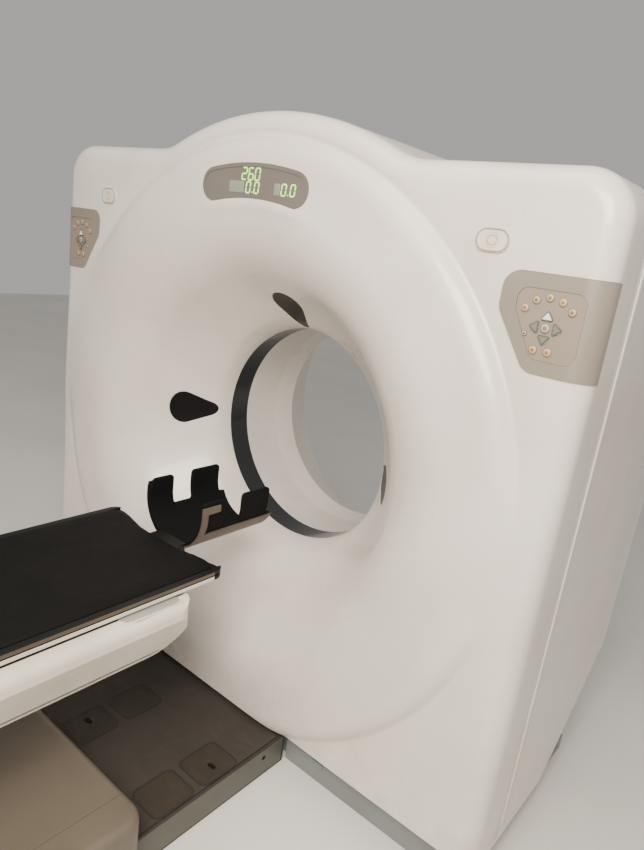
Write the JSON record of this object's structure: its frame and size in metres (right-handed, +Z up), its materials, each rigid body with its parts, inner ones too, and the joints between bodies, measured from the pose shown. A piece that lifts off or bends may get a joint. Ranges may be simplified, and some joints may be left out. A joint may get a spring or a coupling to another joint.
{
  "type": "ct scanner",
  "caption": "Tilting computed tomography scanner with a round patient aperture, a lifting table with a sliding cradle, a head holder and a foot plate.",
  "frame": {"origin": "on the floor, straight below the isocentre, on the underside of the gantry's base plate", "axes": "+Y from the patient table through the aperture, +Z up, +X to the right of someone who stands at the table's far end and faces the gantry"},
  "size_m": [1.7656, 3.372, 1.7058],
  "materials": {
    "cover_white": "moulded, satin gloss",
    "panel_grey": "moulded, fine grain",
    "table_grey": "moulded, satin",
    "key_mat": "moulded key mat",
    "button_cream": "moulded, satin",
    "scan_film": "dark glossy film",
    "dark_window": "smoked acrylic",
    "frame_steel": "powder coated",
    "bare_steel": "machined",
    "gear_steel": "cut and oiled",
    "rubber_black": "matt",
    "copper_rings": "polished tracks",
    "tube_housing": "painted",
    "lead_dark": "painted",
    "electronics": "painted",
    "plinth_blue": "painted",
    "floor_skin": "studded sheet, worn",
    "hatch_skin": "sheet, worn",
    "carbon_board": "carbon fibre laminate",
    "pad_vinyl": "coated fabric over foam",
    "holder_shell": "moulded laminate",
    "holder_foam": "closed foam"
  },
  "bodies": {
    "base": {"base_plate": "frame_steel", "trunnion_tower_left": "frame_steel", "trunnion_tower_right": "frame_steel", "trunnion_bearings": "bare_steel", "tilt_motor": "frame_steel", "plinth_strip": "plinth_blue", "foot_plate": "floor_skin", "hatch_right_front": "hatch_skin", "hatch_right_rear": "hatch_skin", "hatch_left_front": "hatch_skin", "hatch_left_rear": "hatch_skin", "table_base_frame": "frame_steel", "table_base_top": "table_grey", "table_base_side_left": "table_grey", "table_base_side_right": "table_grey", "lift_sleeve_lower": "table_grey", "lift_drive": "frame_steel"},
    "gantry": {"tilt_frame": "frame_steel", "trunnion_pins": "bare_steel", "tilt_sector": "gear_steel", "front_cover": "cover_white", "side_cover_left": "cover_white", "side_cover_right": "cover_white", "top_cover": "cover_white", "rear_cover": "cover_white", "scan_window": "scan_film", "bore_liner": "cover_white", "laser_windows": "dark_window", "display_plate": "panel_grey", "control_panel_left": "panel_grey", "control_panel_right": "panel_grey", "keypad_left": "key_mat", "keypad_right": "key_mat", "estop_plate_left": "cover_white", "estop_plate_right": "cover_white", "drum_bearing_ring": "bare_steel", "brush_block": "lead_dark", "drum_motor": "frame_steel", "drum_belt": "rubber_black"},
    "rotor": {"rotor_drum": "frame_steel", "slip_ring": "copper_rings", "xray_tube": "tube_housing", "collimator": "lead_dark", "detector_arc": "electronics", "power_unit": "electronics"},
    "drive_pulley": {"motor_pulley": "gear_steel"},
    "pinion": {"tilt_pinion": "gear_steel"},
    "stop_button_left": {"estop_button_left": "button_cream"},
    "stop_button_right": {"estop_button_right": "button_cream"},
    "table": {"table_frame": "frame_steel", "table_housing": "cover_white"},
    "middle_sleeve": {"lift_sleeve_middle": "table_grey"},
    "screw": {"lift_screw": "bare_steel"},
    "cradle": {"cradle_board": "carbon_board", "cradle_pad": "pad_vinyl", "head_holder_shell": "holder_shell", "head_holder_lining": "holder_foam"},
    "roller_front": {"front_roller": "rubber_black"},
    "roller_rear": {"rear_roller": "rubber_black"}
  },
  "joints": [
    {"name": "gantry_tilt", "type": "hinge", "parent": "base", "child": "gantry", "pos_m": [0, 0, 0.838], "axis": [-1, 0, 0], "range_deg": [-30, 30]},
    {"name": "rotor_spin", "type": "hinge", "parent": "gantry", "child": "rotor", "pos_m": [0, 0, 0.838], "axis": [0, 1, 0], "continuous": true},
    {"name": "pulley_spin", "type": "hinge", "parent": "gantry", "child": "drive_pulley", "pos_m": [-0.62, 0.1, 0.358], "axis": [0, 1, 0], "continuous": true},
    {"name": "pinion_turn", "type": "hinge", "parent": "base", "child": "pinion", "pos_m": [0.792, 0, 0.523], "axis": [-1, 0, 0], "range_deg": [-185, 185]},
    {"name": "stop_press_left", "type": "slide", "parent": "gantry", "child": "stop_button_left", "axis": [0, 1, 0], "range_m": [0, 0.004], "stiffness_N_per_m": 1500},
    {"name": "stop_press_right", "type": "slide", "parent": "gantry", "child": "stop_button_right", "axis": [0, 1, 0], "range_m": [0, 0.004], "stiffness_N_per_m": 1500},
    {"name": "table_lift", "type": "slide", "parent": "base", "child": "table", "axis": [0, 0, 1], "range_m": [-0.2, 0.1]},
    {"name": "sleeve_follow", "type": "slide", "parent": "base", "child": "middle_sleeve", "axis": [0, 0, 1], "range_m": [-0.101, 0.051]},
    {"name": "screw_turn", "type": "hinge", "parent": "base", "child": "screw", "pos_m": [0, -1.615, 0.1], "axis": [0, 0, 1], "range_deg": [-1810, 910]},
    {"name": "cradle_slide", "type": "slide", "parent": "table", "child": "cradle", "axis": [0, 1, 0], "range_m": [0, 1.65]},
    {"name": "front_roller_turn", "type": "hinge", "parent": "table", "child": "roller_front", "pos_m": [0, -0.745, 0.5977], "axis": [1, 0, 0], "range_deg": [-4800, 10]},
    {"name": "rear_roller_turn", "type": "hinge", "parent": "table", "child": "roller_rear", "pos_m": [0, -1.655, 0.5977], "axis": [1, 0, 0], "range_deg": [-4800, 10]}
  ],
  "couplings": [
    {"joint": "pulley_spin", "follows": "rotor_spin", "ratio": 13.462},
    {"joint": "pinion_turn", "follows": "gantry_tilt", "ratio": -6},
    {"joint": "sleeve_follow", "follows": "table_lift", "ratio": 0.5},
    {"joint": "screw_turn", "follows": "table_lift", "rad_per_m": 157.08},
    {"joint": "front_roller_turn", "follows": "cradle_slide", "rad_per_m": -50},
    {"joint": "rear_roller_turn", "follows": "cradle_slide", "rad_per_m": -50}
  ]
}
